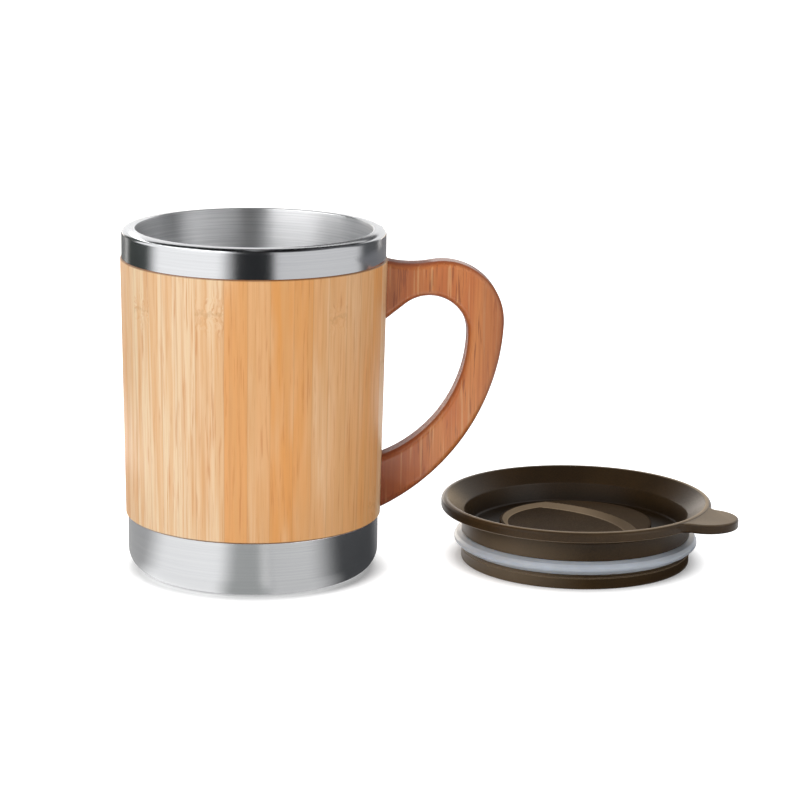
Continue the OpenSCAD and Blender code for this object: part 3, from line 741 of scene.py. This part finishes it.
def moulded(name, light, dark, edge, roughness, shine, grain, depth):
    """Injection-moulded plastic from a spark-eroded mould: a dull skin with a fine pebbled grain.
    Grain and depth are in millimetres. Its rounded edges and the marked places get a painted highlight in the
    paler edge colour, and the dish gets a painted shade"""
    material, tree = new_material(name)
    where = add(tree, "ShaderNodeTexCoord").outputs["Object"]
    pebbles = add(tree, "ShaderNodeTexNoise", {
        "Vector": where, "Scale": 1 / (grain * mm), "Detail": 3.0, "Roughness": 0.6})
    flow = add(tree, "ShaderNodeTexNoise", {"Vector": where, "Scale": 55.0, "Detail": 2.0})
    flow_share = add(tree, "ShaderNodeMath", {0: flow, 1: 0.4}, operation="MULTIPLY")
    mottle = add(tree, "ShaderNodeMath", {0: pebbles, 1: 0.6, 2: flow_share}, operation="MULTIPLY_ADD")
    grained = tinted(tree, dark, light, mottle, 0.38, 0.62)
    # The dish gets a painted shade, darkened towards #120A03
    painted_dish_shade = add(tree, "ShaderNodeAttribute", attribute_name="painted_dish_shade").outputs["Fac"]
    shaded = tinted(tree, grained, "#120A03", painted_dish_shade, 0.0, 1.0, 0.6)
    # Rounded edges get a painted highlight, found with a bevel
    blunt = add(tree, "ShaderNodeBevel", {"Radius": 0.45 * mm}, samples=8)
    facing = add(tree, "ShaderNodeNewGeometry").outputs["Normal"]
    even = add(tree, "ShaderNodeVectorMath", {0: blunt, 1: facing}, operation="DOT_PRODUCT").outputs["Value"]
    edge_highlight = add(tree, "ShaderNodeMapRange", {
        "Value": even, "From Min": 0.99, "From Max": 0.90, "To Min": 0.0, "To Max": 0.6},
        interpolation_type="SMOOTHSTEP")
    # The marked places get a painted highlight too
    painted_highlight = add(tree, "ShaderNodeAttribute", attribute_name="painted_highlight").outputs["Fac"]
    highlight_share = add(tree, "ShaderNodeMath", {0: edge_highlight, 1: painted_highlight}, operation="MAXIMUM")
    colour = add(tree, "ShaderNodeMix", {0: highlight_share, 6: shaded, 7: to_linear(edge)}, data_type="RGBA").outputs[2]
    bump = add(tree, "ShaderNodeBump", {"Height": pebbles, "Strength": 0.5, "Distance": depth * mm})
    surface = add(tree, "ShaderNodeBsdfPrincipled", {
        "Base Color": colour, "Specular IOR Level": shine, "Normal": bump,
        "Roughness": uneven_gloss(tree, pebbles, roughness + 0.05, roughness - 0.05)})
    add(tree, "ShaderNodeOutputMaterial", {"Surface": surface})
    return material


# Real grain is about 0.1 mm. It is drawn at 0.35 mm, the finest that shows.
# The third colour is the paler one of the painted highlights
brown_abs = moulded("abs_dark_brown_matt", "#3A2A15", "#2C1F0F", "#93816A",
    roughness=0.36, shine=0.17, grain=0.35, depth=0.02)
finished(lid, brown_abs)
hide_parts("lid_body")
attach(lid, "lid")

# Snap band
# The lower part of the plug, moulded in the same ABS. Its collar snaps inside the plug's skirt and
# holds the seal in its groove, and a fine line runs round its wall.
band_h = 4.8
band_floor_h = 1.2
band_in_r = 35.95
band_collar_r = 34.3
band_collar_in_r = 32.9
band_collar_top = 7.6
line_low, line_top = 3.55, 3.9
line_depth = 0.18
line_slope = 0.08
band = turned("snap_band", rounded([
    (band_in_r, 0, 0.2), (plug_r, 0, 0.5), (plug_r, line_low, 0),
    (plug_r - line_depth, line_low + line_slope, 0), (plug_r - line_depth, line_top - line_slope, 0),
    (plug_r, line_top, 0), (plug_r, band_h, 0.2), (band_collar_r, band_h, 0.1),
    (band_collar_r, band_collar_top, 0.3), (band_collar_in_r, band_collar_top, 0.3),
    (band_collar_in_r, 0, 0.3), (band_collar_r, 0, 0.3), (band_collar_r, band_h - band_floor_h, 0.2),
    (band_in_r, band_h - band_floor_h, 0.2)], step=8), turns=lid_sides, axis=lid_axis)
# It gets the same painted sheen as the plug's wall, on the side towards -X
marked(band, "painted_highlight", lambda x, y, z: plug_painted_sheen(x, plug_r), lid_axis)
finished(band, brown_abs)
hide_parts("lid_ring")
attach(band, "lid")

# Seal
# A ring of clear bluish silicone, moulded and stretched into the plug's groove. Its belly stands out
# past the mug's mouth and is pressed in when the lid is pushed on.
seal_root_r = 36.05
seal_low, seal_top = 4.85, 9.25
seal_r = 40.0
belly_start, belly_foot, belly_low, belly_high, belly_end = 5.45, 5.75, 6.6, 7.6, 8.6
seal = turned("silicone_seal", rounded([
    (seal_root_r, seal_low, 0.15), (plug_r - 0.05, seal_low, 0.1), (plug_r + 0.25, belly_start, 0.1),
    (seal_r - 0.9, belly_foot, 0.2), (seal_r, belly_low, 0.5), (seal_r, belly_high, 0.6),
    (seal_r - 0.7, belly_end, 0.4), (plug_r, seal_top, 0.15), (seal_root_r, seal_top, 0.15)], step=8),
    turns=lid_sides, axis=lid_axis)
# Clear silicone: milky and faintly blue, with a soft wet sheen. Light goes a millimetre or two into it.
silicone, tree = new_material("silicone_clear_bluish")
where = add(tree, "ShaderNodeTexCoord").outputs["Object"]
milk = add(tree, "ShaderNodeTexNoise", {"Vector": where, "Scale": 160.0, "Detail": 3.0})
surface = add(tree, "ShaderNodeBsdfPrincipled", {
    "Base Color": tinted(tree, "#AFB5BD", "#B5BBC3", milk, 0.3, 0.7),
    "Roughness": uneven_gloss(tree, milk, 0.30, 0.40), "IOR": 1.41,
    "Subsurface Weight": 0.55, "Subsurface Radius": (0.8, 1.0, 1.3), "Subsurface Scale": 1.5 * mm})
add(tree, "ShaderNodeOutputMaterial", {"Surface": surface})
finished(seal, silicone, crease=50)
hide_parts("lid_seal")
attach(seal, "lid")

# Gasket
# A ring of the same silicone, 0.6 mm thick, between the dish's floor and the disc. It seals the drink
# opening while the disc is closed.
gasket_in_r, gasket_r = 4.6, 23.5
gasket_top = dish_z + 0.6
gasket = turned("disc_gasket", rounded([
    (gasket_in_r, dish_z, 0.1), (gasket_r, dish_z, 0.1), (gasket_r, gasket_top, 0.25),
    (gasket_in_r, gasket_top, 0.25)], step=15), turns=240, axis=lid_axis)
carved(gasket, slot_tool(dish_z - 1, dish_z + 2, port_turn))
finished(gasket, silicone, crease=50)
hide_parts("dial_gasket")
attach(gasket, "lid")

# Closing disc
# A disc in brown ABS that turns in the dish on its hollow stud. A finger pushes the ramp of its sunk
# part, and its slot then comes over the drink opening.
disc_r = 25.0
disc_low, disc_top = 10.5, 12.9
disc_slot_turn = radians(-94)
sunk = 1.2
sunk_r = 24.1
sunk_slope = 1.5
ramp_c_out, ramp_c_turn = 27.8, radians(-146)
ramp_c = (ramp_c_out * cos(ramp_c_turn), ramp_c_out * sin(ramp_c_turn))
ramp_top_r = 41.8
ramp_w = 3.4
stud_r = 4.0
stud_bore_r = 2.4
stud_low = 6.1
stud_groove_r = 3.6
stud_groove_low, stud_groove_top = 7.25, 7.85
rings_per_mm = 4


def softly(t, soft=0.12):
    """t held between 0 and 1, with both corners rounded"""
    def above_zero(v):
        return max(0.0, v) if abs(v) > soft else (v + soft) ** 2 / (4 * soft)
    return 1 - above_zero(1 - above_zero(t))


def down_slopes(x, y):
    """How far down the sunk part's edge and down the ramp a point lies, 0 at the top and 1 at the foot"""
    from_ramp_c = hypot(x - ramp_c[0], y - ramp_c[1])
    return (sunk_r - hypot(x, y)) / sunk_slope, (ramp_top_r - from_ramp_c) / ramp_w


def disc_painted_highlight(x, y, z):
    """Painted highlight on both slopes of the sunk part, strongest at their foot, and weaker towards +X"""
    if z <= disc_top - sunk - 0.01:
        return 0.0
    down = min(down_slopes(x, y))
    highlight_share = 1.0 if 0.93 < down < 1.07 else 0.7 if 0.02 < down < 0.93 else 0.0
    return highlight_share * min(1.0, max(0.35, 1.2 - x / 18))


top_rings = [(k / rings_per_mm, disc_top) for k in range(int(disc_r * rings_per_mm) - 2, 0, -1)]
disc = turned("closing_disc", rounded([
    (0, disc_low - 1, 0), (stud_bore_r, disc_low - 1, 0), (stud_bore_r, stud_low, 0.15),
    (stud_r, stud_low, 0.3), (stud_r, stud_groove_low, 0.1), (stud_groove_r, stud_groove_low, 0),
    (stud_groove_r, stud_groove_top, 0), (stud_r, stud_groove_top, 0.1), (stud_r, disc_low, 0.15),
    (disc_r, disc_low, 0.2), (disc_r, disc_top, 0.35)], step=12) + top_rings + [(0, disc_top)],
    turns=480, axis=lid_axis)
# The flat top's points go down to the sunk part, which lies inside its edge and on the near side of the ramp
for point in disc.data.vertices:
    x, y = point.co.x / mm - lid_axis[0], point.co.y / mm - lid_axis[1]
    if point.co.z / mm > disc_top - 0.01 and hypot(x, y) < disc_r - 0.4:
        point.co.z = (disc_top - sunk * min(softly(down) for down in down_slopes(x, y))) * mm
carved(disc, slot_tool(disc_low - 1, disc_top + 2, disc_slot_turn))
# The disc's painted highlight on the slopes of its sunk part
marked(disc, "painted_highlight", disc_painted_highlight, lid_axis)
fine_brown_abs = moulded("abs_brown_fine_grain", "#3A2A16", "#2C1F10", "#93816A",
    roughness=0.50, shine=0.02, grain=0.35, depth=0.03)
finished(disc, fine_brown_abs, crease=30)
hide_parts("lid_dial")
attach(disc, "dial")

# Push-on washer
# A star washer stamped from spring steel. Its teeth bite into the stud's groove under the dish's floor
# and hold the disc down.
washer_r = 7.0
washer_low, washer_top = 7.3, 7.8
tooth_r, gap_r = 3.66, 4.9
teeth = 6
tooth_columns, gap_columns = 26, 14
mesh = bmesh.new()
sides = teeth * (tooth_columns + gap_columns)
rings = []
for inner, z in ((True, washer_low), (False, washer_low), (False, washer_top), (True, washer_top)):
    ring = []
    for i in range(sides):
        in_tooth = i % (tooth_columns + gap_columns) < tooth_columns
        r = washer_r if not inner else tooth_r if in_tooth else gap_r
        ring.append(point_at(mesh, *from_lid(r, 0, z, 2 * pi * i / sides)))
    rings.append(ring)
skinned(mesh, rings + rings[:1])
washer = placed("star_washer", mesh)
# Spring steel, greyed by tempering, with faint rolling lines
spring, tree = new_material("spring_steel_tempered")
where = add(tree, "ShaderNodeTexCoord").outputs["Object"]
rolled = add(tree, "ShaderNodeVectorMath", {0: where, 1: (180, 2400, 180)}, operation="MULTIPLY")
lines = add(tree, "ShaderNodeTexNoise", {"Vector": rolled, "Scale": 1.0, "Detail": 2.0})
surface = add(tree, "ShaderNodeBsdfPrincipled", {
    "Base Color": tinted(tree, "#A6A8AB", "#BDBEBF", lines, 0.35, 0.65),
    "Metallic": 1.0, "Roughness": uneven_gloss(tree, lines, 0.25, 0.38)})
add(tree, "ShaderNodeOutputMaterial", {"Surface": surface})
finished(washer, spring)
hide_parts("dial_clip")
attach(washer, "dial")

# Table and light
# A wide white table. One large soft light stands on the left, a weaker one on the right, a low warm one
# behind and a small one above, and light and dark cards round the mug give its steel the stripes.
floor_half = 6000
mesh = bmesh.new()
floor_corners = ((-1, -1), (1, -1), (1, 1), (-1, 1))
mesh.faces.new([point_at(mesh, x * floor_half, y * floor_half, 0) for x, y in floor_corners])
table = placed("table", mesh)


def seen_share(tree):
    """1 for rays from the camera, also by way of steel or silicone, and 0 for those that carry light on"""
    path = add(tree, "ShaderNodeLightPath")
    seen = add(tree, "ShaderNodeMath", {0: path.outputs["Is Camera Ray"], 1: path.outputs["Is Glossy Ray"]},
        operation="MAXIMUM")
    return add(tree, "ShaderNodeMath", {0: seen, 1: path.outputs["Is Transmission Ray"]}, operation="MAXIMUM")


# Matt white paint. The glow makes it as white as the background. It fades within a centimetre of what
# stands on the table, but stays in the narrow gap under a rounded foot.
white, tree = new_material("white_table")
near = add(tree, "ShaderNodeAmbientOcclusion", {"Distance": 0.010}, samples=12)
glow_near = add(tree, "ShaderNodeMapRange", {
    "Value": near.outputs["AO"], "From Min": 0.36, "From Max": 0.88, "To Min": 0.12, "To Max": 0.92})
glow_in_gap = add(tree, "ShaderNodeMapRange", {
    "Value": near.outputs["AO"], "From Min": 0.15, "From Max": 0.44, "To Min": 0.28, "To Max": 0.0})
glow_here = add(tree, "ShaderNodeMath", {0: glow_near, 1: glow_in_gap}, operation="MAXIMUM")
glow_level = add(tree, "ShaderNodeMath", {0: seen_share(tree), 1: glow_here}, operation="MULTIPLY")
glow = add(tree, "ShaderNodeEmission", {"Color": to_linear("#FFFFFF"), "Strength": glow_level})
matt = add(tree, "ShaderNodeBsdfDiffuse", {"Color": to_linear("#E6E6E6")})
both = add(tree, "ShaderNodeAddShader", {0: matt, 1: glow})
add(tree, "ShaderNodeOutputMaterial", {"Surface": both})
table.data.materials.append(white)


def card(name, start, end, soft, line, colour, strength=1.0, axis=(0, 0), foot=1.0):
    """A bent card round an axis, seen only in reflections. Start, end and the soft fade of its sides are in
    degrees from the mug's front, and its upright line is (radius, height) in millimetres. With a foot of 0
    it fades downwards too"""
    steps = 48
    turns = [start + (end - start) * i / steps for i in range(steps + 1)]
    ways = [(cos(radians(front + a)), sin(radians(front + a))) for a in turns]
    mesh = bmesh.new()
    rings = [[point_at(mesh, axis[0] + r * x, axis[1] + r * y, z) for x, y in ways] for r, z in line]
    for one, two in zip(rings, rings[1:]):
        for i in range(steps):
            mesh.faces.new((one[i], one[i + 1], two[i + 1], two[i]))
    piece = placed(name, mesh)
    fade = piece.data.attributes.new("fade", "FLOAT", "POINT")
    for k in range(len(fade.data)):
        a = turns[k % (steps + 1)]
        fade.data[k].value = min(a - start, end - a, soft * (foot if k <= steps else 1)) / soft
    finish, tree = new_material(name)
    faded = add(tree, "ShaderNodeAttribute", attribute_name="fade").outputs["Fac"]
    shown = add(tree, "ShaderNodeMapRange", {"Value": faded}, interpolation_type="SMOOTHSTEP")
    lit = add(tree, "ShaderNodeEmission", {"Color": to_linear(colour), "Strength": strength})
    clear = add(tree, "ShaderNodeBsdfTransparent")
    surface = add(tree, "ShaderNodeMixShader", {0: shown, 1: clear, 2: lit})
    add(tree, "ShaderNodeOutputMaterial", {"Surface": surface})
    piece.data.materials.append(finish)
    piece.visible_camera = piece.visible_diffuse = piece.visible_shadow = piece.visible_transmission = False


# The low cards lie by the mug's foot, where its base mirrors them, and the high ones rise outside them for
# the rim. Dark cards stand a little inside the white ones.
low_line = [(35.5, 0.2), (50, 0.5), (74, 23)]
low_line_out = [(35.6, 0.1), (51, 0.3), (75, 22)]
low_line_steep = [(35.5, 0.2), (50, 0.5), (58.5, 22)]
high_line = [(76, 25), (104, 51), (162, 104), (200, 140), (325, 255), (325, 420)]
high_line_out = [(77, 24), (105, 50), (163, 103), (201, 138), (330, 253), (330, 420)]
# On the right they stay above the way that the lid takes when it is lifted
lid_line = [(76, 38), (104, 66), (162, 124), (200, 158), (325, 262), (325, 420)]
lid_line_out = [(77, 37), (105, 65), (163, 123), (201, 157), (330, 261), (330, 420)]
card("low_card_front", -22, 14, 13, low_line, "#B2B4B3")
card("low_card_side", -150, -56, 26, low_line, "#B6B6B6")
card("low_card_dark", 30, 116, 26, low_line_steep, "#4A4B4D")
card("low_card_end", 88, 178, 10, [(35.6, 0.1), (51, 0.3), (59.5, 21.5)], "#8A8A8C")
card("low_card_left", -90, -6, 10, low_line_out, "#FFFFFF", 1.12)
card("low_card_right", 3, 60, 8, low_line_out, "#DCDCDC")
card("high_card_front", -28, 27, 17, high_line + [(240, 560), (40, 640)], "#242628", foot=0)
card("high_card_side", -138, -76, 18, high_line[:3], "#3E4341", foot=0)
card("high_card_side_high", -142, -106, 8, high_line[2:], "#3E4341")
card("high_card_side_end", -180, -122, 14, high_line_out[:3], "#66696A", foot=0)
card("high_card_side_over", -172, -104, 10, [(329, 421), (236, 600)], "#2C302E")
card("high_card_dark", 84, 128, 12, lid_line, "#5A5C5E", foot=0)
card("high_card_left", -112, -12, 8, high_line_out, "#FFFFFF", 1.22, foot=0)
card("high_card_left_over", -112, -18, 10, [(330, 421), (235, 600)], "#FFFFFF", 1.22)
card("high_card_right", 12, 104, 8, lid_line_out, "#E2E2E3", foot=0)
card("high_card_right_over", 20, 150, 10, [(331, 421), (235, 600)], "#5A5A5C")
card("high_card_back", 122, 178, 8, high_line_out[:3], "#7A797E", foot=0)
card("small_card_right", 60, 112, 8, [(43.3, 101.9), (57, 103)], "#7C7D81")
card("card_over", -180, 180, 0.01, [(290, 640), (2, 700)], "#121314")
card("card_back_dark", 74, 286, 12, [(521, 470), (420, 560), (291, 640)], "#161718")
# These stand just outside the mouth, where only the cup's inner wall and the rim's shoulder mirror them
mouth_line = [(45.5, 119.5), (72, 150)]
card("mouth_card_front", -20, 17, 9, mouth_line, "#101112")
card("mouth_card_left", -128, -12, 9, [(46.5, 120.5), (73, 151)], "#FFFFFF", 4.4)
card("mouth_card_right", 80, 176, 20, mouth_line, "#5C5D5E")
# Warm cards stand behind the mug and brighten what mirrors them at a flat angle, and the last one hides
# the back lamp from the rim's shoulder
card("card_back_left", 154, 222, 10, [(330, 2), (330, 104)], "#FFF6EC", 3.9)
card("card_back_tab", 134, 160, 8, [(331, 2), (331, 104)], "#FFE8C8", 2.3)
card("card_back_rim", 172, 232, 8, [(332, 103), (332, 215)], "#FFFFFF", 1.08)
# A dark card lies on the table round the lid's plug, which mirrors it
card("card_lid_front", -38, 175, 40, [(plug_r + 0.3, 0.4), (70, 0.4)], "#2A241E", axis=lid_axis)

# The room is white for the camera, also in reflections, and gives a weaker even light
world = bpy.data.worlds.new("studio")
bpy.context.scene.world = world
world.use_nodes = True
tree = world.node_tree
tree.nodes.clear()
level = add(tree, "ShaderNodeMapRange", {"Value": seen_share(tree), "To Min": 0.38, "To Max": 1.0})
sky = add(tree, "ShaderNodeBackground", {"Color": to_linear("#FFFFFF"), "Strength": level})
add(tree, "ShaderNodeOutputWorld", {"Surface": sky})


def lamp(name, place, aim, wide, high, watts, mirrored=True):
    """A soft box, unseen by the camera, and unseen in mirrors too unless it is mirrored"""
    data = bpy.data.lights.new(name, "AREA")
    data.shape, data.size, data.size_y, data.energy = "RECTANGLE", wide, high, watts
    light = bpy.data.objects.new(name, data)
    bpy.context.scene.collection.objects.link(light)
    light.location = place
    light.rotation_euler = (Vector(aim) - Vector(place)).to_track_quat("-Z", "Y").to_euler()
    light.visible_camera = False
    light.visible_glossy = mirrored
    return light


# Places and sizes of the lamps are in metres
middle = (0.03, 0, 0.06)
warm_white = (1.0, 0.92, 0.80)
lamp("key", (-0.80, -0.75, 0.72), middle, 0.9, 0.6, 9.4)
lamp("fill", (1.00, -0.75, 0.55), middle, 0.9, 0.9, 4.6)
back = lamp("back", (-0.40, 1.05, 0.17), (0.08, 0, 0.02), 0.8, 0.16, 3.4)
back.data.color = warm_white
lamp("top", (0.03, 0.25, 1.20), middle, 0.6, 0.4, 2.0, mirrored=False)

# Camera
# A long lens from a little above the mug, at the photo's place and tilt. Its place is in millimetres, its
# turns in degrees, and its roll, the last of them, in radians.
camera_place = (-15.49, -896.81, 260.28)
camera_tilt, camera_turn = 77.144, -4
camera_roll = 0.0148
camera_data = bpy.data.cameras.new("camera")
camera_data.sensor_width = 36
camera_data.lens = 128.42
camera_data.clip_start, camera_data.clip_end = 0.01, 50
camera = bpy.data.objects.new("camera", camera_data)
bpy.context.scene.collection.objects.link(camera)
camera.location = [place * mm for place in camera_place]
camera.rotation_euler = (radians(camera_tilt), 0, radians(camera_turn))
camera.rotation_euler.rotate_axis("Z", camera_roll)
bpy.context.scene.camera = camera
bpy.context.scene.view_settings.view_transform = "Standard"
